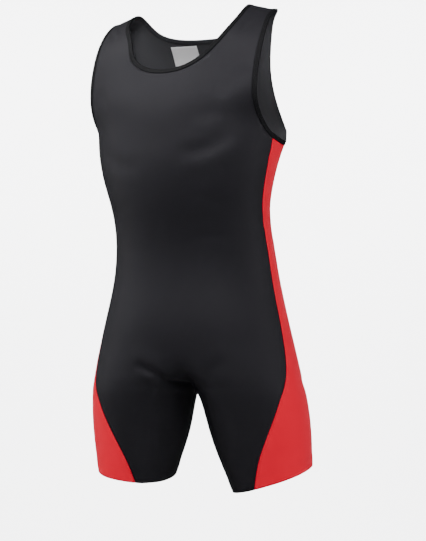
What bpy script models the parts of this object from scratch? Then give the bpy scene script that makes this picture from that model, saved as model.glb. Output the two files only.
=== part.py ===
"""Wrestling singlet, worn on nobody: a hollow tank suit with two mid-thigh legs.

One coarse cage of the whole garment is worked out from short tables of sections and edges,
smoothed, and cut along its seams into front, back and two side panels. Each panel is then a
cloth wall, and a bound elastic edge closes the neck and both armholes.

Units are metres. +Z is up, the chest faces -Y and the wearer's left is +X. Heights are given
as drops, measured down from the neck points, and the origin lies midway between them.
"""

import math

import bmesh
import bpy
from mathutils import Matrix, Vector
from mathutils.bvhtree import BVHTree

# Cloth and sewing
CLOTH_THICK = 0.0015
SEAM_GAP = 0.0003
BINDING_WIDTH = 0.0070
BINDING_THICK = 0.0024
LABEL_WIDTH = 0.050
LABEL_HEIGHT = 0.033
LABEL_THICK = 0.0010
LABEL_SIDE = -0.055
LABEL_BELOW_NECK = 0.0075
LABEL_SPANS = 4
SMOOTHING = 1
SETTLING_ROUNDS = 6
SHARP_DEGREES = 40

# Columns of the cage, counted from centre front round one side to centre back
FRONT_SPANS = 5
SIDE_SPANS = 5
BACK_SPANS = 5
NECK_COLUMN = 2
STRAP_COLUMN = 4
FRONT_SEAM = FRONT_SPANS
BACK_SEAM = FRONT_SPANS + SIDE_SPANS
CENTRE_BACK = FRONT_SPANS + SIDE_SPANS + BACK_SPANS

# Trunk sections: behind is how far the section's middle lies towards the back, and turn how far
# the section is turned towards the wearer's left
TRUNK_NAMES = ("drop", "half_width", "half_depth", "behind", "turn", "roundness")
TRUNK = (
    (0.235, 0.170, 0.118, -0.024, 0.0, 2.25),
    (0.288, 0.158, 0.112, -0.034, 2.5, 2.20),
    (0.345, 0.143, 0.105, -0.031, 6.0, 2.10),
    (0.390, 0.140, 0.103, -0.019, 9.0, 2.10),
    (0.440, 0.143, 0.107, -0.007, 12.0, 2.10),
    (0.490, 0.150, 0.114, -0.001, 13.5, 2.10),
    (0.550, 0.163, 0.121, -0.001, 15.0, 2.15),
    (0.615, 0.178, 0.120, 0.002, 15.0, 2.15),
    (0.675, 0.190, 0.1125, 0.009, 15.0, 2.10),
)
TRUNK_DROPS = (0.272, 0.311, 0.352, 0.394, 0.436, 0.478, 0.518, 0.556)

# Rows where the trunk parts into two legs: 0 is one trunk, 1 is two closed thighs. The crest is
# how far from the middle the section's front and back stand out most.
FORK_NAMES = ("drop", "parted", "crest")
FORK = (
    (0.590, 0.05, 0.007),
    (0.618, 0.19, 0.028),
    (0.639, 0.42, 0.050),
    (0.653, 0.70, 0.065),
    (0.664, 1.00, 0.074),
)

# Where the seams of the side panel run, as angles round the section from its widest point, and
# how far the columns under the front and back straps are drawn towards them
SEAM_NAMES = ("drop", "front_seam", "back_seam", "front_drawn", "back_drawn")
SEAMS = (
    (0.235, -4.0, 24.0, 9.0, 10.0),
    (0.300, -5.5, 30.0, 3.0, 3.0),
    (0.390, -9.0, 35.0, 0.0, 0.0),
    (0.490, -13.0, 38.0, 0.0, 0.0),
    (0.574, -16.0, 42.0, 0.0, 0.0),
    (0.632, -23.0, 50.0, 0.0, 0.0),
    (0.675, -38.0, 62.0, 0.0, 0.0),
)

# The legs, from the fork at 0 to the hem at 1: how far the inner side, the crest and the outer
# side lie from the middle between the legs, and the seams' angles as above
LEG_NAMES = ("down", "inner", "crest", "outer", "half_depth", "front_seam", "back_seam")
LEG = (
    (0.00, 0.0000, 0.0740, 0.1880, 0.1140, -35.0, 60.0),
    (0.09, 0.0090, 0.0790, 0.1911, 0.1113, -41.0, 64.0),
    (0.28, 0.0170, 0.0870, 0.1947, 0.1045, -53.0, 68.0),
    (0.52, 0.0265, 0.0980, 0.1965, 0.0960, -69.0, 76.0),
    (0.76, 0.0410, 0.1100, 0.1960, 0.0885, -87.0, 84.0),
    (1.00, 0.0565, 0.1235, 0.1940, 0.0800, -106.0, 92.0),
)
LEG_ROUNDNESS = 2.1

# Each leg's hem: how far it stands out and back, its drop, how much lower its inner and its front
# edge lie than that, and how far its seams are shifted round
HEM_NAMES = ("side", "outward", "behind", "drop", "inner_lower", "front_lower", "seam_shift")
HEMS = (
    (1, 0.0060, 0.030, 0.8265, 0.0215, 0.007, 3.0),
    (-1, -0.0055, 0.030, 0.8205, 0.0070, 0.011, -1.0),
)

# The yoke, upwards from the underarm: each row runs from the neck edge, or from the centre
# where there is no neck edge yet, out to the armhole edge.
YOKE_NAMES = ("neck_side", "neck_drop", "arm_side", "arm_drop")
FRONT_YOKE = (
    (0.000, 0.198, 0.1660, 0.184),
    (0.000, 0.158, 0.1670, 0.146),
    (0.000, 0.1165, 0.1680, 0.109),
    (0.0930, 0.058, 0.1685, 0.070),
    (0.1080, 0.030, 0.1670, 0.040),
    (0.1120, 0.010, 0.1660, 0.023),
    (0.1110, 0.000, 0.1650, 0.015),
)
FRONT_NECK_ROW = 2
FRONT_NECK_CURVE = ((0.000, 0.1165), (0.038, 0.111), (0.071, 0.090))
BACK_YOKE = (
    (0.000, 0.198, 0.1480, 0.183),
    (0.000, 0.160, 0.1400, 0.149),
    (0.000, 0.122, 0.1375, 0.112),
    (0.000, 0.083, 0.1425, 0.074),
    (0.000, 0.043, 0.1475, 0.044),
    (0.1000, 0.021, 0.1545, 0.026),
    (0.1110, 0.000, 0.1650, 0.015),
)
BACK_NECK_ROW = 4
BACK_NECK_CURVE = ((0.000, 0.043), (0.042, 0.042), (0.079, 0.036))

# The form under the yoke, as sections whose depth dies out at the shoulder ridge
SHOULDER_NAMES = (
    "below_ridge", "front", "front_width", "front_roundness", "back", "back_width", "back_roundness"
)
SHOULDER = (
    (0.000, 0.007, 0.210, 3.20, -0.007, 0.175, 2.60),
    (0.010, 0.036, 0.210, 3.20, 0.010, 0.160, 2.60),
    (0.020, 0.050, 0.210, 3.20, 0.018, 0.155, 2.50),
    (0.040, 0.066, 0.210, 3.20, 0.034, 0.149, 2.35),
    (0.060, 0.084, 0.210, 3.20, 0.052, 0.1455, 2.25),
    (0.090, 0.097, 0.210, 3.20, 0.070, 0.142, 2.20),
    (0.120, 0.107, 0.208, 3.20, 0.083, 0.141, 2.20),
    (0.160, 0.124, 0.196, 2.60, 0.093, 0.150, 2.20),
    (0.200, 0.136, 0.184, 2.35, 0.096, 0.165, 2.25),
    (0.235, 0.142, 0.170, 2.25, 0.094, 0.170, 2.25),
)
RIDGE_MIDDLE = -0.007
RIDGE_SLOPE = 0.27
RIDGE_INSIDE = 0.03
NECK_SIDE = 0.111

# The underarm row, whose cloth ends in the armhole between the two straps. The flare is how far
# the cloth stands out there from the section below it.
UNDERARM_DROP = 0.235
UNDERARM_NAMES = ("column", "drop", "flare")
UNDERARM = (
    (4, 0.217, 0.001),
    (5, 0.228, 0.001),
    (6, 0.232, 0.001),
    (7, 0.235, 0.002),
    (8, 0.236, 0.004),
    (9, 0.234, 0.004),
    (10, 0.227, 0.004),
    (11, 0.212, 0.003),
    (12, 0.226, 0.001),
)

COLOURS = {
    "black": (0.017, 0.017, 0.020, 1.0),
    "red": (0.72, 0.020, 0.035, 1.0),
    "edge": (0.010, 0.010, 0.012, 1.0),
    "white": (0.80, 0.80, 0.80, 1.0),
}


def read(table, names, key):
    """The table's row at this key as a dictionary, on smooth curves through its rows."""
    keys = [row[0] for row in table]
    key = min(max(key, keys[0]), keys[-1])
    last = len(table) - 2
    at = next((i for i in range(last + 1) if key <= keys[i + 1]), last)
    span = keys[at + 1] - keys[at]
    part = (key - keys[at]) / span
    found = {names[0]: key}
    for column, name in enumerate(names[1:], start=1):
        slopes = []
        for end in (at, at + 1):
            low, high = max(end - 1, 0), min(end + 1, len(table) - 1)
            rise = table[high][column] - table[low][column]
            slopes.append(rise / (keys[high] - keys[low]) * span)
        start, stop = table[at][column], table[at + 1][column]
        found[name] = (
            start * (1 + 2 * part) * (1 - part) ** 2
            + slopes[0] * part * (1 - part) ** 2
            + stop * part**2 * (3 - 2 * part)
            - slopes[1] * part**2 * (1 - part)
        )
    return found


def powered(value, power):
    return math.copysign(abs(value) ** power, value)


def ring_point(angle, sides, half_depth, roundness):
    """A point of a rounded section: 0 degrees is its outer side, -90 its front.

    The sides are its inner side, its crest and its outer side.
    """
    inner, crest, outer = sides
    turn = math.radians(angle)
    share = powered(math.cos(turn), 2 / roundness)
    across = crest + share * (outer - crest if share > 0 else crest - inner)
    return across, half_depth * powered(math.sin(turn), 2 / roundness)


def column_angles(end, front_seam, back_seam, front_drawn=0.0, back_drawn=0.0):
    """The angle of each cage column, from one end of the section to the other."""
    front_strap = -end + (front_seam + end) * STRAP_COLUMN / FRONT_SPANS + front_drawn
    back_strap = end - (end - back_seam) * STRAP_COLUMN / BACK_SPANS - back_drawn
    stops = (
        (-end, front_strap, STRAP_COLUMN),
        (front_strap, front_seam, FRONT_SPANS - STRAP_COLUMN),
        (front_seam, back_seam, SIDE_SPANS),
        (back_seam, back_strap, BACK_SPANS - STRAP_COLUMN),
        (back_strap, end, STRAP_COLUMN),
    )
    angles = []
    for start, stop, spans in stops:
        angles += [start + (stop - start) * i / spans for i in range(spans)]
    return angles + [end]


def turned(across, behind, drop, degrees):
    return Matrix.Rotation(math.radians(degrees), 3, "Z") @ Vector((across, behind, -drop))


def trunk_row(drop, side, parted=0.0, crest=0.0):
    """One side of a trunk section. A parted one curls in towards its own thigh."""
    section = read(TRUNK, TRUNK_NAMES, drop)
    seams = read(SEAMS, SEAM_NAMES, drop)
    roundness = section["roundness"]
    end = 90 * (1 + parted)
    curled = abs(math.cos(math.radians(end))) ** (2 / roundness)
    sides = (crest - crest / curled if parted else 0.0, crest, section["half_width"])
    angles = column_angles(end, *[seams[name] for name in SEAM_NAMES[1:]])
    row = []
    for angle in angles:
        across, behind = ring_point(angle, sides, section["half_depth"], roundness)
        place = (side * max(across, 0.0), section["behind"] + behind)
        row.append(turned(*place, drop, section["turn"]))
    return row


def leg_row(down, hem):
    """A closed ring round one leg; its first point is the inseam's."""
    leg = read(LEG, LEG_NAMES, down)
    top = read(TRUNK, TRUNK_NAMES, FORK[-1][0])
    sides = [leg[name] + hem["outward"] * down for name in ("inner", "crest", "outer")]
    middle_behind = top["behind"] + (hem["behind"] - top["behind"]) * down
    middle_drop = FORK[-1][0] + (hem["drop"] - FORK[-1][0]) * down
    shift = hem["seam_shift"] * down
    angles = column_angles(180.0, leg["front_seam"] + shift, leg["back_seam"] - shift)
    row = []
    for angle in angles[:-1]:
        across, behind = ring_point(angle, sides, leg["half_depth"], LEG_ROUNDNESS)
        lower = -hem["inner_lower"] * math.cos(math.radians(angle))
        lower -= hem["front_lower"] * behind / leg["half_depth"]
        place = (hem["side"] * across, middle_behind + behind)
        row.append(turned(*place, middle_drop + lower * down, top["turn"]))
    return row


def form_point(across, drop, facing):
    """A point on the chest (facing -1) or the back (facing +1) above the underarm."""
    ridge = max(abs(across) - NECK_SIDE, -RIDGE_INSIDE) * RIDGE_SLOPE
    section = read(SHOULDER, SHOULDER_NAMES, drop - ridge)
    half = "front" if facing < 0 else "back"
    roundness = section[half + "_roundness"]
    flat = min(abs(across) / section[half + "_width"], 1.0)
    share = (1 - flat**roundness) ** (1 / roundness)
    reach = (section[half] - facing * RIDGE_MIDDLE) * share
    return Vector((across, RIDGE_MIDDLE + facing * reach, -drop))


def yoke_rows(yoke, neck_row, neck_curve, facing, side):
    """The cage rows above the underarm, each a dictionary from column to point."""
    rows = []
    for number, values in enumerate(yoke):
        row = dict(zip(YOKE_NAMES, values))
        inner = 0 if number <= neck_row else NECK_COLUMN
        points = {}
        for column in range(inner, STRAP_COLUMN + 1):
            part = (column - inner) / (STRAP_COLUMN - inner)
            across = row["neck_side"] + (row["arm_side"] - row["neck_side"]) * part
            drop = row["neck_drop"] + (row["arm_drop"] - row["neck_drop"]) * part
            if number == neck_row and column <= NECK_COLUMN:
                across, drop = neck_curve[column]
            if number == neck_row and column == NECK_COLUMN + 1:
                across = (neck_curve[NECK_COLUMN][0] + row["arm_side"]) / 2
                drop = (neck_curve[NECK_COLUMN][1] + row["arm_drop"]) / 2
            points[column] = form_point(side * across, drop, facing)
        rows.append(points)
    return rows


class Cage:
    """Points by name, and four-sided faces that remember their panel."""

    def __init__(self):
        self.mesh = bmesh.new()
        self.points = {}
        self.panels = self.mesh.faces.layers.int.new("panel")

    def put(self, key, place):
        if key not in self.points:
            self.points[key] = self.mesh.verts.new(place)

    def face(self, keys, panel, side):
        corners = [self.points[key] for key in keys]
        if side < 0:
            corners.reverse()
        self.mesh.faces.new(corners)[self.panels] = panel


PANELS = ("front_panel", "back_panel", "side_panel_left", "side_panel_right")


def panel_of(column, side):
    if column < FRONT_SEAM:
        return 0
    if column < BACK_SEAM:
        return 2 if side > 0 else 3
    return 1


def key_of(side, row, column):
    """Points on the centre lines belong to both sides."""
    shared = column in (0, CENTRE_BACK) and row[0] in ("trunk", "front", "back")
    return (0 if shared else side, row, column)


def build_trunk(cage, side):
    """Rows from the underarm to the fork. The last row is the top of the thigh."""
    underarm = {values[0]: dict(zip(UNDERARM_NAMES, values)) for values in UNDERARM}
    rows = [{"drop": drop} for drop in (UNDERARM_DROP, *TRUNK_DROPS)]
    rows += [dict(zip(FORK_NAMES, values)) for values in FORK]
    for number, row in enumerate(rows):
        for column, place in enumerate(trunk_row(side=side, **row)):
            if number == 0 and column in underarm:
                place.z = -underarm[column]["drop"]
                outward = Vector((place.x, place.y, 0)).normalized()
                place += outward * underarm[column]["flare"]
            key = key_of(side, ("trunk", number), column)
            if number == len(rows) - 1 and column in (0, CENTRE_BACK):
                key = "crotch"
            cage.put(key, place)
            if number == len(rows) - 1:
                cage.points[(side, ("leg", 0), column)] = cage.points[key]
    for number in range(1, len(rows)):
        for column in range(CENTRE_BACK):
            corners = []
            for row, col in ((number - 1, column), (number, column),
                             (number, column + 1), (number - 1, column + 1)):
                key = key_of(side, ("trunk", row), col)
                if row == len(rows) - 1 and col in (0, CENTRE_BACK):
                    key = "crotch"
                corners.append(key)
            cage.face(corners, panel_of(column, side), side)


def build_leg(cage, hem):
    side = hem["side"]
    for number, down in enumerate([row[0] for row in LEG[1:]], start=1):
        for column, place in enumerate(leg_row(down, hem)):
            cage.put((side, ("leg", number), column), place)
        for column in range(CENTRE_BACK):
            after = (column + 1) % CENTRE_BACK
            above = column + 1 if number == 1 else after
            corners = (
                (side, ("leg", number - 1), column),
                (side, ("leg", number), column),
                (side, ("leg", number), after),
                (side, ("leg", number - 1), above),
            )
            cage.face(corners, panel_of(column, side), side)


def yoke_key(side, where, number, column, last):
    """The yoke's first row is the trunk's, and its last is the ridge that both share."""
    trunk_column = column if where == "front" else CENTRE_BACK - column
    if number < 0:
        return key_of(side, ("trunk", 0), trunk_column)
    if number == last:
        return (side, ("ridge", 0), column)
    return (0 if column == 0 else side, (where, number), column)


def build_yoke(cage, where, yoke, neck_row, neck_curve, facing, side):
    rows = yoke_rows(yoke, neck_row, neck_curve, facing, side)
    last = len(rows) - 1
    for number, points in enumerate(rows):
        for column, place in points.items():
            cage.put(yoke_key(side, where, number, column, last), place)
        inner = 0 if number <= neck_row else NECK_COLUMN
        for column in range(inner, STRAP_COLUMN):
            corners = [
                yoke_key(side, where, number, column, last),
                yoke_key(side, where, number - 1, column, last),
                yoke_key(side, where, number - 1, column + 1, last),
                yoke_key(side, where, number, column + 1, last),
            ]
            cage.face(corners, 0 if where == "front" else 1, -side * facing)


def garment_cage():
    cage = Cage()
    for side in (1, -1):
        build_trunk(cage, side)
        build_yoke(cage, "front", FRONT_YOKE, FRONT_NECK_ROW, FRONT_NECK_CURVE, -1, side)
        build_yoke(cage, "back", BACK_YOKE, BACK_NECK_ROW, BACK_NECK_CURVE, 1, side)
    for values in HEMS:
        build_leg(cage, dict(zip(HEM_NAMES, values)))
    return cage.mesh


def smoothed(form):
    """The smoothed mesh of the form. Its first points are those of the cage, in order."""
    graph = bpy.context.evaluated_depsgraph_get()
    return bpy.data.meshes.new_from_object(form.evaluated_get(graph))


def settle_cage(form):
    """Moves the cage until its smoothed surface passes through the places of its points."""
    wanted = [point.co.copy() for point in form.data.vertices]
    for _ in range(SETTLING_ROUNDS):
        surface = smoothed(form)
        for point, place, reached in zip(form.data.vertices, wanted, surface.vertices):
            point.co += place - reached.co
        bpy.data.meshes.remove(surface)
        form.data.update()


def smooth_surface(levels):
    """The cage smoothed into one open surface that still knows its panels."""
    mesh = bpy.data.meshes.new("garment_form")
    source = garment_cage()
    source.to_mesh(mesh)
    source.free()
    form = bpy.data.objects.new("garment_form", mesh)
    bpy.context.scene.collection.objects.link(form)
    smoothing = form.modifiers.new("smooth", "SUBSURF")
    smoothing.levels = levels
    smoothing.render_levels = levels
    settle_cage(form)
    surface = bmesh.new()
    surface.from_mesh(smoothed(form))
    bpy.data.objects.remove(form)
    return surface


def edge_loops(surface):
    """The open edges, as one list of points in order for each opening."""
    left = {edge for edge in surface.edges if edge.is_boundary}
    loops = []
    while left:
        edge = left.pop()
        loop = [edge.verts[0], edge.verts[1]]
        while True:
            following = [e for e in loop[-1].link_edges if e in left]
            if not following:
                break
            left.remove(following[0])
            loop.append(following[0].other_vert(loop[-1]))
        loops.append(loop[:-1])
    return loops


def inward_at(vert, before, after):
    """Along the cloth, square to its edge and away from it."""
    along = (after.co - before.co).normalized()
    inside = sum((face.calc_center_median() for face in vert.link_faces), Vector())
    inside = inside / len(vert.link_faces) - vert.co
    inside -= along * inside.dot(along)
    inside -= vert.normal * inside.dot(vert.normal)
    return inside.normalized()


def name_loop(loop):
    """The opening that an edge loop surrounds."""
    middle = sum((vert.co for vert in loop), Vector()) / len(loop)
    side = "left" if middle.x > 0 else "right"
    if middle.z < -FORK[-1][0]:
        return "hem_" + side
    if abs(middle.x) < NECK_SIDE / 2:
        return "neck_binding"
    return "armhole_binding_" + side


def band(name, loop, directions, normals, collection):
    """A closed ring of elastic: its outer edge is the garment's own edge."""
    inner = -(BINDING_THICK - CLOTH_THICK) / 2
    outer = inner + BINDING_THICK
    corners = ((BINDING_WIDTH, outer), (0.0, outer), (0.0, inner), (BINDING_WIDTH, inner))
    mesh = bmesh.new()
    rings = []
    for place, inward, normal in zip(loop, directions, normals):
        rings.append([mesh.verts.new(place + inward * a + normal * b) for a, b in corners])
    for ring, after in zip(rings, rings[1:] + rings[:1]):
        for i in range(4):
            j = (i + 1) % 4
            mesh.faces.new((ring[i], ring[j], after[j], after[i]))
    bmesh.ops.recalc_face_normals(mesh, faces=mesh.faces)
    return keep(name, mesh, collection, "edge", 0.75)


def keep(name, mesh, collection, colour, roughness):
    """The finished mesh as an object with its own material."""
    data = bpy.data.meshes.new(name)
    mesh.to_mesh(data)
    mesh.free()
    data.shade_smooth()
    data.set_sharp_from_angle(angle=math.radians(SHARP_DEGREES))
    piece = bpy.data.objects.new(name, data)
    collection.objects.link(piece)
    material = bpy.data.materials.new(name)
    material.use_nodes = True
    shader = material.node_tree.nodes["Principled BSDF"]
    shader.inputs["Base Color"].default_value = COLOURS[colour]
    shader.inputs["Roughness"].default_value = roughness
    shader.inputs["Metallic"].default_value = 0.0
    data.materials.append(material)
    return piece


def bind_edges(surface, collection):
    """Makes the elastic of the neck and armholes and trims the cloth back to meet it."""
    for loop in edge_loops(surface):
        name = name_loop(loop)
        if name.startswith("hem"):
            continue
        count = len(loop)
        directions = [
            inward_at(vert, loop[i - 1], loop[(i + 1) % count]) for i, vert in enumerate(loop)
        ]
        places = [vert.co.copy() for vert in loop]
        band(name, places, directions, [vert.normal.copy() for vert in loop], collection)
        for vert, inward in zip(loop, directions):
            vert.co += inward * (BINDING_WIDTH + SEAM_GAP)


def trim_seams(surface, panel, number):
    """For each point on this panel's seams, the small step back that leaves the seam's gap."""
    steps = {}
    for vert in surface.verts:
        own = [face for face in vert.link_faces if face[panel] == number]
        if not own or len(own) == len(vert.link_faces):
            continue
        seam = [e for e in vert.link_edges if len({f[panel] for f in e.link_faces}) == 2]
        ends = [edge.other_vert(vert).co for edge in seam]
        along = (ends[0] - (ends[1] if len(ends) > 1 else vert.co)).normalized()
        inside = sum((face.calc_center_median() for face in own), Vector()) / len(own) - vert.co
        inside -= along * inside.dot(along)
        inside -= vert.normal * inside.dot(vert.normal)
        steps[vert.index] = inside.normalized() * SEAM_GAP / 2
    return steps


def cloth_panel(surface, number, collection):
    """One panel, cut out of the surface and given its thickness outwards."""
    surface.verts.index_update()
    panel = surface.faces.layers.int["panel"]
    steps = trim_seams(surface, panel, number)
    mesh = bmesh.new()
    out = mesh.verts.layers.float_vector.new("out")
    made = {}
    for face in surface.faces:
        if face[panel] != number:
            continue
        for vert in face.verts:
            if vert.index not in made:
                place = vert.co + steps.get(vert.index, Vector())
                made[vert.index] = mesh.verts.new(place)
                made[vert.index][out] = vert.normal
        mesh.faces.new([made[vert.index] for vert in face.verts])
    grown = bmesh.ops.extrude_face_region(mesh, geom=mesh.faces[:], use_keep_orig=True)
    for vert in grown["geom"]:
        if isinstance(vert, bmesh.types.BMVert):
            vert.co += vert[out] * CLOTH_THICK
    bmesh.ops.recalc_face_normals(mesh, faces=mesh.faces)
    name = PANELS[number]
    keep(name, mesh, collection, "red" if name.startswith("side") else "black", 0.5)


def neck_label(surface, collection):
    """A blank label on the inside of the back, a little below the neck edge."""
    mesh = bmesh.new()
    bmesh.ops.create_grid(mesh, x_segments=LABEL_SPANS, y_segments=LABEL_SPANS, size=0.5)
    cloth = BVHTree.FromBMesh(surface)
    inside = {}
    top = BACK_NECK_CURVE[0][1] + LABEL_BELOW_NECK
    for vert in mesh.verts:
        across = LABEL_SIDE + vert.co.x * LABEL_WIDTH
        drop = top + (0.5 - vert.co.y) * LABEL_HEIGHT
        middle = Vector((across, RIDGE_MIDDLE, -drop))
        place, outward, _, _ = cloth.ray_cast(middle, Vector((0, 1, 0)))
        inside[vert] = -outward if outward.y > 0 else outward
        vert.co = place + inside[vert] * SEAM_GAP
    under = dict(zip(mesh.verts[:], [vert.co.copy() for vert in mesh.verts]))
    grown = bmesh.ops.extrude_face_region(mesh, geom=mesh.faces[:], use_keep_orig=True)
    for vert in grown["geom"]:
        if isinstance(vert, bmesh.types.BMVert):
            below = min(under, key=lambda other: (under[other] - vert.co).length)
            vert.co += inside[below] * LABEL_THICK
    bmesh.ops.recalc_face_normals(mesh, faces=mesh.faces)
    keep("neck_label", mesh, collection, "white", 0.8)


def main():
    for obj in list(bpy.data.objects):
        bpy.data.objects.remove(obj)
    collection = bpy.data.collections.new("wrestling_singlet")
    bpy.context.scene.collection.children.link(collection)
    surface = smooth_surface(SMOOTHING)
    surface.normal_update()
    bind_edges(surface, collection)
    for number in range(len(PANELS)):
        cloth_panel(surface, number, collection)
    neck_label(surface, collection)
    surface.free()


main()
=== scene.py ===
"""Wrestling singlet: a snug tank suit of shiny two-colour knit.

The cloth is drawn over the form of the solids, creased, split along its seams and given its
thickness. Elastic bindings, turned leg hems, rows of stitches and a blank neck label follow,
each with its own knitted, woven or twisted finish.

Units are metres, +Z is up, the chest faces -Y and the wearer's left is +X. Heights are drops below
the neck points, where the origin is.
"""

import math

import bmesh
import bpy
import numpy as np
from bpy.props import FloatProperty, FloatVectorProperty, IntProperty, PointerProperty
from mathutils import Matrix, Vector
from mathutils.bvhtree import BVHTree


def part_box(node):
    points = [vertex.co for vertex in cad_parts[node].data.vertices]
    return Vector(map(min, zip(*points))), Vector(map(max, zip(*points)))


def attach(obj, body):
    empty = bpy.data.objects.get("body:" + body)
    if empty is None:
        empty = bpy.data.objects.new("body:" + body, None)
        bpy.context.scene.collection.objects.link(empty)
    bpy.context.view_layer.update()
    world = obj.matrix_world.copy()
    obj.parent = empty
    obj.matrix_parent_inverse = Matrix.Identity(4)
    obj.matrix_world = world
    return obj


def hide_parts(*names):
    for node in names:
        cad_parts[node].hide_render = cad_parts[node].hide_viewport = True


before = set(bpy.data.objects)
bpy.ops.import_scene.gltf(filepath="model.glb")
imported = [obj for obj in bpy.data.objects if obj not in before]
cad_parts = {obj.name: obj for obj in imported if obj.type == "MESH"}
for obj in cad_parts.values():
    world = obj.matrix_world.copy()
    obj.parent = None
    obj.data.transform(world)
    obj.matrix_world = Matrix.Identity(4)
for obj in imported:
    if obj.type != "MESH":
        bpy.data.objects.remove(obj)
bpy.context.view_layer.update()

bl_info = {
    "name": "Wrestling singlet",
    "version": (1, 0, 0),
    "blender": (4, 5, 0),
    "location": "View3D > Sidebar > Singlet",
    "description": "Builds a wrestling singlet from its cut panels, bindings, hems and stitching",
    "category": "Add Mesh",
}

FORM = "singlet_form"
PANELS = ("front_panel", "back_panel", "side_panel_left", "side_panel_right")
FINISH = {
    "front_panel": "dark_knit",
    "back_panel": "dark_knit",
    "side_panel_left": "red_knit",
    "side_panel_right": "red_knit",
}

# One repeat of each weave: across and along the cloth
KNIT_REPEAT = (0.0011, 0.0008)
ELASTIC_REPEAT = (0.0011, 0.0016)
RIBBON_REPEAT = (0.00075, 0.00055)

# The binding's section: steps down each side, steps round the fold, the step past which its inner
# side is painted lighter to stand in for light on that shaded face, how far its two ends turn
# under, and how high the elastic ripples
BAND_STEPS = 4
BAND_TURNS = 8
BAND_PAINTED_LIGHT_STEP = 11
BAND_TUCK = 0.0002
BAND_RIPPLE = 0.0001

# A turned hem: how softly it steps down, the puckers above it, and the groove of its stitching
HEM_STEP = 0.0008
PUCKER_HIGH = 0.00022
PUCKER_WIDE = 0.005
PUCKERS = {"hem_left": 410.0, "hem_right": 370.0}
GROOVE_DEEP = 0.0004
GROOVE_WIDE = 0.0014

# Rows of stitches: shares of the binding's width, distances over the cloth from a seam's middle,
# from the top of the hem and from the label's edge, and how far the thread stands off the cloth
BINDING_ROWS = (0.24, 0.62)
SEAM_ROW = 0.0016
HEM_ROWS = (-0.0012, 0.0020)
LABEL_ROW = 0.0022
THREAD_OFF = 0.2

# The label: its faces across and down, its distance off the cloth, how it waves and falls forward
# at its foot, its rounded edge, and how far in front of the back the cloth behind it is sought
LABEL_FACES = (26, 16)
LABEL_OFF = 0.0005
LABEL_WAVE = 0.0009
LABEL_FALL = 0.0006
LABEL_BEVEL = 0.0002
LABEL_SIGHT = 0.03

# Reading the solids: how near two points are one, in a wall and across a seam, the least turn at a
# rim, how many openings the form has, the drop of its fork, and how near the middle its neck lies
WELD = 0.00002
SEAM_WELD = 0.0008
RIM_ANGLE = math.radians(62)
OPENINGS = 5
FORK_DROP = 0.664
NECK_REACH = 0.05
TINY = 1e-9

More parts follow.
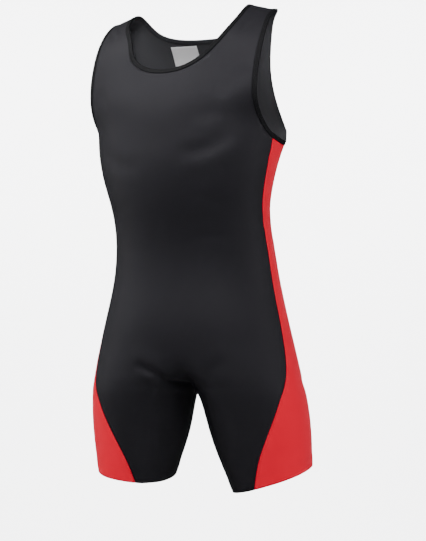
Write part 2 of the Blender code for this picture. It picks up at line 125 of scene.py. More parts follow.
# Creases: the side they lie on, their two ends as distance across and drop, how far they bow
# sideways, and how deep and wide they are in millimetres. A negative depth is a ridge.
CREASE_NAMES = ("side", "across", "drop", "end_across", "end_drop", "bow", "deep", "wide")
CREASES = (
    # the groin, from each hip bone down to the fork
    ("front", -0.056, 0.600, 0.016, 0.636, -0.006, -1.4, 14.0),
    ("front", -0.048, 0.620, 0.012, 0.660, -0.005, 4.4, 7.5),
    ("front", -0.022, 0.648, 0.022, 0.664, -0.002, 2.2, 6.5),
    ("front", 0.118, 0.612, 0.056, 0.660, 0.008, 1.8, 12.0),
    ("front", 0.092, 0.646, 0.046, 0.662, 0.004, 0.9, 7.0),
    # short pulls that fan out of the fork
    ("front", 0.004, 0.610, 0.016, 0.650, 0.002, 0.8, 6.0),
    ("front", -0.040, 0.676, -0.074, 0.706, -0.004, 0.9, 7.0),
    ("front", 0.066, 0.680, 0.090, 0.716, 0.004, 0.6, 7.0),
    # under the chest and down to the waist
    ("front", -0.124, 0.246, -0.026, 0.286, 0.012, 2.2, 13.0),
    ("front", 0.134, 0.226, 0.040, 0.264, -0.012, 3.0, 14.0),
    ("front", 0.118, 0.206, 0.064, 0.218, -0.004, -1.0, 11.0),
    ("front", 0.112, 0.352, 0.060, 0.336, 0.004, 0.7, 9.0),
    ("front", -0.110, 0.368, -0.052, 0.352, -0.004, 0.6, 9.0),
    ("front", 0.116, 0.402, 0.048, 0.412, 0.005, 0.5, 8.0),
    ("front", -0.098, 0.420, -0.040, 0.436, -0.003, 0.5, 8.0),
    # from the straps and the armholes
    ("front", 0.150, 0.120, 0.112, 0.176, 0.006, 2.0, 12.0),
    ("front", 0.138, 0.096, 0.116, 0.140, 0.004, 0.8, 9.0),
    ("front", -0.148, 0.146, -0.116, 0.176, -0.004, 0.9, 8.0),
    ("front", -0.156, 0.030, -0.124, 0.058, -0.003, 1.0, 4.5),
    ("front", -0.146, 0.020, -0.118, 0.042, -0.002, 0.8, 4.0),
    ("front", -0.134, 0.012, -0.114, 0.026, -0.002, 0.5, 3.5),
    ("front", 0.142, 0.030, 0.128, 0.062, 0.003, 0.6, 5.0),
    # round the thighs
    ("front", -0.150, 0.738, -0.104, 0.748, 0.003, 0.5, 6.0),
    ("front", 0.140, 0.742, 0.090, 0.752, -0.003, 0.4, 6.0),
    # the small of the back
    ("back", -0.108, 0.372, -0.016, 0.392, 0.008, 1.8, 9.0),
    ("back", 0.112, 0.362, 0.022, 0.384, -0.007, 1.6, 9.0),
    ("back", -0.090, 0.404, 0.034, 0.412, 0.006, 1.3, 8.0),
    ("back", 0.104, 0.432, 0.030, 0.424, 0.004, 1.0, 8.0),
    ("back", -0.100, 0.336, -0.046, 0.350, 0.004, 0.9, 8.0),
    # between the shoulder blades, at the straps and beside the neck
    ("back", -0.074, 0.150, -0.040, 0.210, -0.004, 0.9, 10.0),
    ("back", 0.076, 0.140, 0.044, 0.196, 0.004, 0.8, 10.0),
    ("back", 0.128, 0.060, 0.096, 0.098, 0.004, 0.7, 6.0),
    ("back", -0.126, 0.066, -0.098, 0.104, -0.004, 0.7, 6.0),
    ("back", -0.012, 0.052, -0.016, 0.090, 0.001, 1.3, 3.0),
    ("back", 0.000, 0.052, 0.004, 0.084, -0.001, 1.4, 3.0),
    # the seat, under it and out of the fork
    ("back", -0.022, 0.550, -0.028, 0.640, 0.006, 2.2, 13.0),
    ("back", -0.140, 0.656, -0.058, 0.668, 0.010, 1.9, 10.0),
    ("back", 0.108, 0.660, 0.018, 0.672, -0.010, 1.7, 10.0),
    ("back", -0.066, 0.632, -0.036, 0.660, 0.003, 1.0, 7.0),
    ("back", 0.012, 0.626, -0.014, 0.656, -0.003, 1.0, 7.0),
    ("back", -0.112, 0.760, -0.074, 0.768, 0.003, 0.6, 6.0),
    ("back", 0.096, 0.772, 0.060, 0.764, 0.003, 0.6, 6.0),
    # the flanks, a hand's width below the armhole, at the waist and on the hip
    ("left", -0.060, 0.262, 0.010, 0.276, 0.003, 0.9, 8.0),
    ("left", -0.050, 0.372, 0.040, 0.386, 0.004, 1.0, 8.0),
    ("left", -0.020, 0.408, 0.050, 0.400, -0.003, 0.7, 7.0),
    ("left", 0.060, 0.640, 0.110, 0.664, 0.004, 0.8, 8.0),
    ("right", -0.064, 0.256, 0.004, 0.270, 0.003, 0.9, 8.0),
    ("right", -0.056, 0.380, 0.030, 0.372, 0.004, 1.0, 8.0),
    ("right", -0.030, 0.418, 0.040, 0.412, -0.003, 0.7, 7.0),
    ("right", 0.020, 0.652, 0.080, 0.668, 0.004, 0.8, 8.0),
)

# Where the cloth is drawn a little aside: the middle of the place, how far it goes and how wide
# the pull is
PULLS = (
    ((-0.094, -0.088, -0.055), (0.011, 0.0, 0.0), 0.028),
    ((0.096, -0.086, -0.062), (0.005, 0.0, 0.0), 0.028),
)

# How a crease is pressed in: steps along it, how many widths its form reaches, how it fades to its
# ends, and how much of the trough is turned into the swell beside it
CREASE_STEPS = 14
CREASE_REACH = 3.2
CREASE_TAPER = 0.8
CREASE_SWELL = 0.55
MILLIMETRE = 0.001

# Where each side is looked at from, and which way
LOOKING_FROM = {
    "front": (Vector((0, -1, 0)), Vector((0, 1, 0))),
    "back": (Vector((0, 1, 0)), Vector((0, -1, 0))),
    "left": (Vector((1, 0, 0)), Vector((-1, 0, 0))),
    "right": (Vector((-1, 0, 0)), Vector((1, 0, 0))),
}

# The camera, and the lights: each one's direction round the garment, height, reach, size and
# power, and the place that it is aimed at
CAMERA_AZIMUTH = 30.0
CAMERA_REACH = 2.6
CAMERA_HEIGHT = -0.48
CAMERA_LENS = 97.55
CAMERA_SHIFT = (0.0296, 0.0213)
WORLD_STRENGTH = 0.025
LIGHT_NAMES = (
    "name", "azimuth", "height", "reach", "size", "power", "aim_azimuth", "aim_height", "aim_reach"
)
LIGHTS = (
    ("key", -35.0, 2.2, 1.9, (1.8, 1.4), 42.0, 0.0, -0.2, 0.0),
    ("front", 30.0, 1.5, 2.4, (1.6, 1.2), 92.0, 0.0, -0.1, 0.0),
    ("high_left", -70.0, 1.6, 2.2, (1.2, 1.4), 31.0, 0.0, -0.3, 0.0),
    ("low_left", -40.0, 0.4, 2.6, (1.2, 1.8), 15.0, 0.0, -0.5, 0.0),
    ("left_side", -75.0, -0.35, 2.2, (1.0, 1.4), 10.0, 0.0, -0.5, 0.0),
    ("right_side", 105.0, -0.3, 2.2, (1.2, 2.0), 19.0, 0.0, -0.6, 0.0),
    ("left_wash", 170.0, 0.8, 2.6, (1.5, 2.0), 380.0, 205.0, -0.2, 4.5),
    ("right_wash", 250.0, 0.8, 2.6, (1.5, 2.0), 380.0, 215.0, -0.2, 4.5),
)


def length(name, description, value):
    return FloatProperty(name=name, description=description, default=value, unit="LENGTH")


def colour(name, description, value):
    return FloatVectorProperty(
        name=name, description=description, default=value, size=3, subtype="COLOR", min=0, max=1
    )


class SingletSizes(bpy.types.PropertyGroup):
    """Sizes of the cloth and its sewing"""

    cloth: length("Cloth", "Thickness of the knit", 0.0012)
    fineness: IntProperty(
        name="Fineness", description="How often the form's faces are halved",
        default=2, min=1, max=3,
    )
    creasing: FloatProperty(
        name="Creasing", description="Share of the creases' full depth",
        default=1.0, subtype="FACTOR",
    )
    seam_gap: length("Seam gap", "Between two panels at a seam, below zero to overlap", -0.00006)
    seam_sink: length("Seam sink", "How far the cloth is drawn in at a seam", 0.0005)
    hem: length("Hem", "Width of the turned leg hem", 0.020)
    hem_rise: length("Hem rise", "How far the doubled hem stands out", 0.0006)
    binding_width: length("Binding", "Width of the elastic round neck and arms", 0.0070)
    binding_thick: length("Binding thickness", "Of the folded elastic", 0.0025)
    binding_strip: length("Binding strip", "Thickness of the elastic itself", 0.0005)
    binding_lap: length("Binding lap", "How far the elastic reaches over the cloth", 0.0012)
    stitch: length("Stitch", "Length of one stitch", 0.0024)
    stitch_pitch: length("Stitch pitch", "From one stitch to the next", 0.0034)
    thread: length("Thread", "Thickness of the thread", 0.00042)
    label_width: length("Label width", "Across the neck", 0.050)
    label_height: length("Label height", "Down the back", 0.033)
    label_thick: length("Label thickness", "Of the folded ribbon", 0.0007)


class SingletColours(bpy.types.PropertyGroup):
    """Colours of the knit, the elastic, the thread and the label"""

    dark: colour("Dark knit", "Front and back", (0.0104, 0.0099, 0.0124))
    # the wrong side's own duller tone, painted lighter still to stand in for light falling inside
    dark_inside: colour("Dark inside", "The wrong side of the dark knit", (0.052, 0.052, 0.057))
    red: colour("Red knit", "Side panels", (0.70, 0.0024, 0.024))
    red_inside: colour("Red inside", "The wrong side of the red knit", (0.62, 0.030, 0.045))
    elastic: colour("Elastic", "Neck and armhole bindings", (0.0042, 0.0042, 0.0052))
    # painted light: lighter than the elastic to stand in for light on the shaded inner face
    elastic_inside: colour("Elastic inside", "The bindings' wrong side", (0.040, 0.040, 0.045))
    dark_thread: colour("Dark thread", "Stitches on the dark knit", (0.009, 0.009, 0.011))
    red_thread: colour("Red thread", "Stitches on the red knit", (0.52, 0.010, 0.022))
    label: colour("Label", "The blank neck label", (0.90, 0.90, 0.91))
    floor: colour("Floor", "The studio's floor and backdrop", (0.93, 0.93, 0.94))


# Finishes


class Finish:
    """A material under way: it adds nodes and links them."""

    def __init__(self, name):
        self.material = bpy.data.materials.new(name)
        self.material.use_nodes = True
        self.tree = self.material.node_tree
        self.shader = self.tree.nodes["Principled BSDF"]

    def node(self, kind, settings=None, **inputs):
        made = self.tree.nodes.new(kind)
        for key, value in (settings or {}).items():
            setattr(made, key, value)
        for key, value in inputs.items():
            self.feed(value, made.inputs[key])
        return made

    def feed(self, value, socket):
        if isinstance(value, bpy.types.NodeSocket):
            self.tree.links.new(value, socket)
        else:
            socket.default_value = value

    def math(self, operation, first, second=0.0):
        """One step of arithmetic. MULTIPLY_ADD adds the half that its last socket starts with."""
        made = self.tree.nodes.new("ShaderNodeMath")
        made.operation = operation
        self.feed(first, made.inputs[0])
        self.feed(second, made.inputs[1])
        return made.outputs[0]

    def mix(self, share, low, high):
        made = self.tree.nodes.new("ShaderNodeMix")
        made.data_type = "RGBA"
        self.feed(share, made.inputs["Factor"])
        self.feed(low, made.inputs["A"])
        self.feed(high, made.inputs["B"])
        return made.outputs["Result"]

    def cloth_place(self, width, height):
        """The place on the flat cloth, counted in repeats of this width and height."""
        flat = self.node("ShaderNodeUVMap", {"uv_map": "cloth"})
        scale = (1 / width, 1 / height, 1.0)
        return self.node("ShaderNodeMapping", Vector=flat.outputs["UV"], Scale=scale).outputs[0]

    def noise(self, place, scale, detail=3.0):
        made = self.node("ShaderNodeTexNoise", Vector=place, Scale=scale, Detail=detail)
        return made.outputs["Fac"]

    def body_place(self):
        return self.node("ShaderNodeTexCoord").outputs["Object"]

    def set(self, **values):
        for key, value in values.items():
            self.shader.inputs[key.replace("_", " ")].default_value = value

    def colour(self, socket):
        self.feed(socket, self.shader.inputs["Base Color"])

    def rough(self, socket):
        self.feed(socket, self.shader.inputs["Roughness"])

    def bump(self, height, distance, strength=1.0):
        made = self.node("ShaderNodeBump", Height=height, Distance=distance, Strength=strength)
        self.feed(made.outputs["Normal"], self.shader.inputs["Normal"])


def four(colour_value, share=1.0):
    return (*(channel * share for channel in colour_value), 1.0)


def wave(finish, place, axis):
    """0 to 1 and back once for each repeat along this axis."""
    parts = finish.node("ShaderNodeSeparateXYZ", Vector=place)
    turn = finish.math("MULTIPLY", parts.outputs[axis], 2 * math.pi)
    return finish.math("MULTIPLY_ADD", finish.math("SINE", turn), 0.5)


def knit(name, face, dullness, gloss):
    """Smooth warp knit: fine upright ribs crossed by finer rows of loops."""
    finish = Finish(name)
    place = finish.cloth_place(*KNIT_REPEAT)
    ribs = wave(finish, place, "X")
    rows = wave(finish, place, "Y")
    loops = finish.math("MULTIPLY", ribs, finish.math("MULTIPLY_ADD", rows, 0.5))
    body = finish.body_place()
    cloud = finish.noise(body, 9.0)
    grain = finish.noise(body, 420.0, 2.0)
    worn = finish.math("MULTIPLY_ADD", finish.math("SUBTRACT", cloud, 0.5), 0.5)
    shade = finish.math("ADD", worn, finish.math("MULTIPLY", loops, 0.5))
    finish.colour(finish.mix(shade, four(face, 0.82), four(face, 1.22)))
    uneven = finish.math("MULTIPLY", finish.math("SUBTRACT", cloud, 0.5), 0.10)
    dull = finish.math("MULTIPLY", grain, 0.05)
    finish.rough(finish.math("ADD", finish.math("ADD", uneven, dull), dullness))
    height = finish.math("ADD", loops, finish.math("MULTIPLY", grain, 0.35))
    finish.bump(height, 0.00012, 0.55)
    finish.set(Specular_IOR_Level=gloss, Specular_Tint=(0.94, 0.92, 1.0, 1.0))
    return finish.material


def elastic(name, face):
    """Woven elastic: close ribs across the band and a fine line along each."""
    finish = Finish(name)
    place = finish.cloth_place(*ELASTIC_REPEAT)
    ribs = wave(finish, place, "X")
    lines = wave(finish, place, "Y")
    weave = finish.math("ADD", ribs, finish.math("MULTIPLY", lines, 0.4))
    grain = finish.noise(finish.body_place(), 700.0, 2.0)
    tone = finish.math("MULTIPLY", weave, grain)
    finish.colour(finish.mix(tone, four(face, 0.75), four(face, 1.9)))
    finish.rough(finish.math("ADD", finish.math("MULTIPLY", grain, 0.12), 0.55))
    finish.bump(finish.math("ADD", weave, grain), 0.00016, 0.7)
    finish.set(Specular_IOR_Level=0.12)
    return finish.material


def thread(name, face):
    """Twisted thread, with a painted highlight that makes the crown of its strands lighter."""
    finish = Finish(name)
    body = finish.body_place()
    strands_and_highlight = finish.noise(body, 1600.0, 2.0)
    # painted highlight: the colour is lighter where the strands' bump is highest
    finish.colour(finish.mix(strands_and_highlight, four(face, 0.7), four(face, 1.5)))
    finish.rough(finish.math("ADD", finish.math("MULTIPLY", strands_and_highlight, 0.2), 0.42))
    finish.bump(strands_and_highlight, 0.00008, 0.6)
    finish.set(Specular_IOR_Level=0.2)
    return finish.material


def ribbon(name, face):
    """Woven label ribbon: a tight grid of warp and weft with soft shading."""
    finish = Finish(name)
    place = finish.cloth_place(*RIBBON_REPEAT)
    warp = wave(finish, place, "X")
    weft = wave(finish, place, "Y")
    grid = finish.math("MULTIPLY", warp, weft)
    cloud = finish.noise(finish.body_place(), 60.0)
    half_cloud = finish.math("MULTIPLY", cloud, 0.5)
    tone = finish.math("ADD", finish.math("MULTIPLY", grid, 0.5), half_cloud)
    finish.colour(finish.mix(tone, four(face, 0.86), four(face, 1.08)))
    finish.rough(finish.math("ADD", finish.math("MULTIPLY", cloud, 0.15), 0.58))
    finish.bump(grid, 0.00010, 0.6)
    finish.set(Specular_IOR_Level=0.35, Sheen_Weight=0.1, Sheen_Roughness=0.5)
    return finish.material


def studio_white(name, face):
    finish = Finish(name)
    cloud = finish.noise(finish.body_place(), 2.0)
    finish.colour(finish.mix(cloud, four(face, 0.985), four(face, 1.0)))
    finish.set(Roughness=0.9, Specular_IOR_Level=0.1)
    return finish.material


# How each finish is made, the colour it takes, and the dullness and gloss of a knit
FINISHES = {
    "dark_knit": (knit, "dark", 0.56, 0.21),
    # partly painted light: the inner wall's dark knit is lightened to stand in for light inside
    "dark_knit_inside": (knit, "dark_inside", 0.70, 0.10),
    "red_knit": (knit, "red", 0.55, 0.04),
    "red_knit_inside": (knit, "red_inside", 0.65, 0.10),
    "edge_elastic": (elastic, "elastic"),
    # painted light: the lighter elastic on the bindings' shaded inner face
    "edge_elastic_inside": (elastic, "elastic_inside"),
    "dark_thread": (thread, "dark_thread"),
    "red_thread": (thread, "red_thread"),
    "label_thread": (thread, "label"),
    "label_cloth": (ribbon, "label"),
}


def finish_of(name):
    """A finish by name, made the first time it is asked for."""
    own = "singlet_" + name
    make, tone, *surface = FINISHES[name]
    face = getattr(bpy.context.scene.singlet_colours, tone)
    return bpy.data.materials.get(own) or make(own, face, *surface)


# The form of the whole garment


def smooth_regions(mesh):
    """Faces grouped so that no group turns a corner sharper than the cloth's rim."""
    left = set(mesh.faces)
    regions = []
    while left:
        region = [left.pop()]
        for face in region:
            for edge in face.edges:
                if len(edge.link_faces) != 2 or edge.calc_face_angle() > RIM_ANGLE:
                    continue
                for other in edge.link_faces:
                    if other in left:
                        left.remove(other)
                        region.append(other)
        regions.append(region)
    return regions


def squareness(edge):
    """How far from square the corners of these two triangles are, taken as one face."""
    corners = {}
    for face in edge.link_faces:
        for loop in face.loops:
            corners[loop.vert] = corners.get(loop.vert, 0.0) + loop.calc_angle()
    return max(abs(angle - math.pi / 2) for angle in corners.values())


def take_out_diagonals(sheet):
    """Makes the triangles a net of four-sided faces again.

    The net's own lines join knots of unlike kinds, and a diagonal joins two of one kind. Where
    the net is even its diagonals all run the same way, so the kinds follow from one square face.
    """
    even = {
        knot for knot in sheet.verts if len(knot.link_edges) == (4 if knot.is_boundary else 6)
    }
    inner = [edge for edge in sheet.edges if len(edge.link_faces) == 2]
    start = min(inner, key=squareness)
    kinds = {knot: knot in start.verts for face in start.link_faces for knot in face.verts}
    reached = list(start.link_faces)
    for only_even in (True, False):
        for face in reached:
            for edge in face.edges:
                own = next(knot for knot in face.verts if knot not in edge.verts)
                for other in edge.link_faces:
                    knot = next(knot for knot in other.verts if knot not in edge.verts)
                    first, second = edge.verts
                    if knot not in kinds:
                        if only_even and not even.issuperset(edge.verts):
                            continue
                        kinds[knot] = kinds[own] ^ (kinds[first] != kinds[second])
                    if other not in reached:
                        reached.append(other)
    diagonals = [edge for edge in inner if kinds[edge.verts[0]] == kinds[edge.verts[1]]]
    bmesh.ops.dissolve_edges(sheet, edges=diagonals, use_verts=False)


def outer_wall(name):
    """The outer face of one solid cloth wall, as a net of four-sided faces."""
    sheet = bmesh.new()
    sheet.from_mesh(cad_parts[name].data)
    bmesh.ops.remove_doubles(sheet, verts=sheet.verts, dist=WELD)
    regions = smooth_regions(sheet)
    outer = set(max(regions, key=lambda region: sum(face.calc_area() for face in region)))
    rest = [face for face in sheet.faces if face not in outer]
    bmesh.ops.delete(sheet, geom=rest, context="FACES")
    take_out_diagonals(sheet)
    mesh = bpy.data.meshes.new(name + "_wall")
    sheet.to_mesh(mesh)
    sheet.free()
    return mesh


def lay_flat(mesh):
    """Gives the wall a map of itself laid flat, in metres, with its length upwards."""
    piece = bpy.data.objects.new("laid_flat", mesh)
    bpy.context.scene.collection.objects.link(piece)
    bpy.context.view_layer.objects.active = piece
    piece.select_set(True)
    while mesh.uv_layers:
        mesh.uv_layers.remove(mesh.uv_layers[0])
    mesh.uv_layers.new(name="cloth")
    bpy.ops.object.mode_set(mode="EDIT")
    bpy.ops.mesh.select_all(action="SELECT")
    bpy.ops.uv.select_all(action="SELECT")
    bpy.ops.uv.unwrap(method="ANGLE_BASED", margin=0.0)
    bpy.ops.object.mode_set(mode="OBJECT")
    bpy.data.objects.remove(piece)
    count = len(mesh.loops)
    flat = np.empty(count * 2)
    mesh.uv_layers["cloth"].data.foreach_get("uv", flat)
    flat = flat.reshape(-1, 2)
    corner = np.empty(count, int)
    mesh.loops.foreach_get("vertex_index", corner)
    places = positions(mesh)
    solid_area = sum(face.area for face in mesh.polygons)
    flat_area = sum(abs(polygon_area(flat[list(face.loop_indices)])) for face in mesh.polygons)
    flat = (flat - flat.mean(axis=0)) * math.sqrt(solid_area / flat_area)
    heights = places[corner, 2] - places[corner, 2].mean()
    up = (flat * heights[:, None]).sum(axis=0)
    up = up / np.linalg.norm(up)
    turned = np.stack([flat @ np.array([up[1], -up[0]]), flat @ up], axis=1)
    mesh.uv_layers["cloth"].data.foreach_set("uv", turned.ravel())


def polygon_area(corners):
    after = np.roll(corners, -1, axis=0)
    return 0.5 * float((corners[:, 0] * after[:, 1] - corners[:, 1] * after[:, 0]).sum())


def positions(mesh):
    found = np.empty(len(mesh.vertices) * 3)
    mesh.vertices.foreach_get("co", found)
    return found.reshape(-1, 3)


def joined_walls():
    """All four outer walls welded along their seams. Each face keeps the number of its panel."""
    whole = bmesh.new()
    panel = whole.faces.layers.int.new("panel")
    for number, name in enumerate(PANELS):
        wall = outer_wall(name)
        lay_flat(wall)
        before = set(whole.faces)
        whole.from_mesh(wall)
        for face in whole.faces:
            if face not in before:
                face[panel] = number
        bpy.data.meshes.remove(wall)
    rims = [vert for vert in whole.verts if vert.is_boundary]
    bmesh.ops.remove_doubles(whole, verts=rims, dist=SEAM_WELD)
    mesh = bpy.data.meshes.new(FORM)
    whole.to_mesh(mesh)
    whole.free()
    return mesh


def refined(mesh, levels):
    """The mesh with its faces halved and smoothed this often."""
    piece = bpy.data.objects.new("refined", mesh)
    bpy.context.scene.collection.objects.link(piece)
    smoothing = piece.modifiers.new("smooth", "SUBSURF")
    smoothing.levels = levels
    smoothing.render_levels = levels
    smoothing.uv_smooth = "NONE"
    graph = bpy.context.evaluated_depsgraph_get()
    made = bpy.data.meshes.new_from_object(piece.evaluated_get(graph))
    bpy.data.objects.remove(piece)
    return made


def crease_path(crease, tree):
    """Points of the crease on the form, from one end to the other."""
    start = np.array([crease["across"], crease["drop"]])
    end = np.array([crease["end_across"], crease["end_drop"]])
    along = end - start
    sideways = np.array([-along[1], along[0]]) / np.linalg.norm(along)
    origin, direction = LOOKING_FROM[crease["side"]]
    path = []
    for step in range(CREASE_STEPS + 1):
        share = step / CREASE_STEPS
        across, drop = start + along * share + sideways * crease["bow"] * 4 * share * (1 - share)
        if crease["side"] in ("front", "back"):
            seen_from = origin + Vector((across, 0, -drop))
        else:
            seen_from = origin + Vector((0, across, -drop))
        place = tree.ray_cast(seen_from, direction)[0]
        if place is not None:
            path.append(place)
    return np.array(path)


def add_crease(places, normals, crease, tree, share):
    """Presses one crease into the form: a trough with a low swell on each side."""
    path = crease_path(crease, tree)
    wide = crease["wide"] * MILLIMETRE
    reach = CREASE_REACH * wide
    low, high = path.min(axis=0) - reach, path.max(axis=0) + reach
    near = np.flatnonzero(((places > low) & (places < high)).all(axis=1))
    if not len(near):
        return
    here = places[near]
    best = np.full(len(near), np.inf)
    run = np.zeros(len(near))
    count = len(path) - 1
    for step in range(count):
        first, along = path[step], path[step + 1] - path[step]
        part = np.clip((here - first) @ along / (along @ along + TINY), 0, 1)
        away = np.linalg.norm(here - first - part[:, None] * along, axis=1)
        closer = away < best
        best[closer] = away[closer]
        run[closer] = (step + part[closer]) / count
    taper = np.sin(math.pi * np.clip(run, 0, 1)) ** CREASE_TAPER
    spread = best / wide
    hollow = (1 - CREASE_SWELL * spread**2) * np.exp(-0.5 * spread**2)
    facing = normals[near] @ np.array(-LOOKING_FROM[crease["side"]][1])
    depth = crease["deep"] * MILLIMETRE * share * taper * hollow * (facing > 0)
    places[near] -= normals[near] * depth[:, None]


def pull_aside(places, middle, shift, reach):
    """Draws the cloth round this place aside, less and less away from it."""
    away = np.linalg.norm(places - middle, axis=1)
    places += np.exp(-0.5 * (away / reach) ** 2)[:, None] * shift


def vertex_normals(mesh):
    found = np.empty(len(mesh.vertices) * 3)
    mesh.vertex_normals.foreach_get("vector", found)
    return found.reshape(-1, 3)


def edge_loops(surface):
    """The open edges of a surface, as one list of points in order for each opening."""
    left = dict.fromkeys(edge for edge in surface.edges if edge.is_boundary)
    loops = []
    while left:
        edge = left.popitem()[0]
        loop = [edge.verts[0], edge.verts[1]]
        while True:
            following = [other for other in loop[-1].link_edges if other in left]
            if not following:
                break
            del left[following[0]]
            loop.append(following[0].other_vert(loop[-1]))
        loops.append(loop[:-1])
    return loops


def opening_name(loop):
    middle = sum((vert.co for vert in loop), Vector()) / len(loop)
    side = "left" if middle.x > 0 else "right"
    if middle.z < -FORK_DROP:
        return "hem_" + side
    if abs(middle.x) < NECK_REACH:
        return "neck"
    return "armhole_" + side


def openings(surface):
    """The loops of the form by the name of the opening that each goes round."""
    found = {opening_name(loop): loop for loop in edge_loops(surface)}
    if len(found) != OPENINGS:
        raise RuntimeError(f"the form has openings {sorted(found)}, not {OPENINGS}")
    return found


def away_from(places, line):
    """How far each place lies from a closed line, and how far round that line it is nearest."""
    ends = np.roll(line, -1, axis=0)
    lengths = np.linalg.norm(ends - line, axis=1)
    starts = np.concatenate([[0], np.cumsum(lengths)[:-1]])
    best = np.full(len(places), np.inf)
    run = np.zeros(len(places))
    for first, along, length, start in zip(line, ends - line, lengths, starts):
        part = np.clip((places - first) @ along / (length**2 + TINY), 0, 1)
        away = np.linalg.norm(places - first - part[:, None] * along, axis=1)
        closer = away < best
        best[closer] = away[closer]
        run[closer] = start + part[closer] * length
    return best, run


def raise_hem(places, normals, line, sizes, ripple):
    """Doubles the cloth over at a leg opening, with small puckers above its stitching."""
    near = np.flatnonzero(places[:, 2] < line[:, 2].max() + 2 * sizes.hem)
    away, run = away_from(places[near], line)
    doubled = 1 / (1 + np.exp((away - sizes.hem) / HEM_STEP))
    pucker = np.exp(-(((away - sizes.hem) / PUCKER_WIDE) ** 2))
    wavy = np.sin(run * ripple) + 0.6 * np.sin(run * ripple * 1.73 + 1.0)
    wavy += 0.5 * np.sin(run * ripple * 0.41 + 2.0)
    lift = sizes.hem_rise * doubled + PUCKER_HIGH * pucker * wavy
    lift -= GROOVE_DEEP * np.exp(-(((away - sizes.hem) / GROOVE_WIDE) ** 2))
    places[near] += normals[near] * lift[:, None]


def form_mesh():
    found = bpy.data.meshes.get(FORM)
    if found is None:
        raise RuntimeError("the form isn't there yet: run Shape form first")
    return found


# Shared helpers of the pieces


def finished_piece(name, mesh, materials, nodes=()):
    """The mesh as a piece of the garment, with its finishes and the solids that it stands for."""
    piece = bpy.data.objects.new(name, mesh)
    bpy.context.scene.collection.objects.link(piece)
    for material in materials:
        mesh.materials.append(finish_of(material))
    mesh.shade_smooth()
    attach(piece, "root")
    if nodes:
        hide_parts(*nodes)
    return piece


def inward_at(vert, before, after):
    """Along the cloth, square to its edge and away from it."""
    along = (after.co - before.co).normalized()
    inside = sum((face.calc_center_median() for face in vert.link_faces), Vector())
    inside = inside / len(vert.link_faces) - vert.co
    inside -= along * inside.dot(along)
    inside -= vert.normal * inside.dot(vert.normal)
    return inside.normalized()


class Line:
    """A line drawn on the cloth: its places, the cloth's outward direction, and one across."""

    def __init__(self, places, outwards, inwards, closed=True):
        self.places = [place.copy() for place in places]
        self.outwards = [outward.copy() for outward in outwards]
        self.inwards = [inward.copy() for inward in inwards]
        self.closed = closed

    @classmethod
    def round_opening(cls, loop):
        following = loop[1:] + loop[:1]
        inwards = [inward_at(*three) for three in zip(loop, loop[-1:] + loop[:-1], following)]
        return cls([vert.co for vert in loop], [vert.normal for vert in loop], inwards)

    def lengths(self):
        """How far along the line each place is, and the whole length."""
        ends = self.places[1:] + (self.places[:1] if self.closed else [])
        run = [0.0]
        for place, after in zip(self.places, ends):
            run.append(run[-1] + (after - place).length)
        return (run[:-1], run[-1]) if self.closed else (run, run[-1])

    def moved(self, inward, tree=None, lift=0.0):
        """The same line, further in over the cloth and lifted off it."""
        places = []
        for place, outward, across in zip(self.places, self.outwards, self.inwards):
            there = place + across * inward
            if tree:
                there = tree.find_nearest(there)[0]
            places.append(there + outward * lift)
        return Line(places, self.outwards, self.inwards, self.closed)

    def at(self, run, lengths):
        """Place, outward and inward direction at this distance along the line."""
        starts, whole = lengths
        index = max(int(np.searchsorted(starts, run, side="right")) - 1, 0)
        after = (index + 1) % len(self.places)
        stop = starts[after] if after > index else whole
        share = (run - starts[index]) / max(stop - starts[index], TINY)
        return (
            self.places[index].lerp(self.places[after], share),
            self.outwards[index].lerp(self.outwards[after], share).normalized(),
            self.inwards[index].lerp(self.inwards[after], share).normalized(),
        )


def one_stitch(sizes):
    """A single stitch lying along X: a slim bead flattened onto the cloth."""
    stitch = bmesh.new()
    bmesh.ops.create_uvsphere(stitch, u_segments=6, v_segments=4, radius=0.5)
    bmesh.ops.rotate(stitch, verts=stitch.verts, matrix=Matrix.Rotation(math.pi / 2, 3, "Y"))
    bmesh.ops.scale(stitch, verts=stitch.verts, vec=(sizes.stitch, sizes.thread, sizes.thread))
    mesh = bpy.data.meshes.new("stitch")
    stitch.to_mesh(mesh)
    stitch.free()
    return mesh


def sew(rows, pattern, sizes):
    """Rows of stitches, end to end along their lines, joined in one mesh."""
    whole = bmesh.new()
    for line in rows:
        lengths = line.lengths()
        count = max(int(lengths[1] / sizes.stitch_pitch), 1)
        for number in range(count):
            place, outward, inward = line.at((number + 0.5) * lengths[1] / count, lengths)
            along = inward.cross(outward).normalized()
            across = outward.cross(along).normalized()
            turn = Matrix((along, across, outward)).transposed().to_4x4()
            one = pattern.copy()
            one.transform(Matrix.Translation(place) @ turn)
            whole.from_mesh(one)
            bpy.data.meshes.remove(one)
    mesh = bpy.data.meshes.new("stitching")
    whole.to_mesh(mesh)
    whole.free()
    return mesh


def opened_form():
    """The finished form as a bmesh with fresh normals."""
    surface = bmesh.new()
    surface.from_mesh(form_mesh())
    surface.normal_update()
    return surface


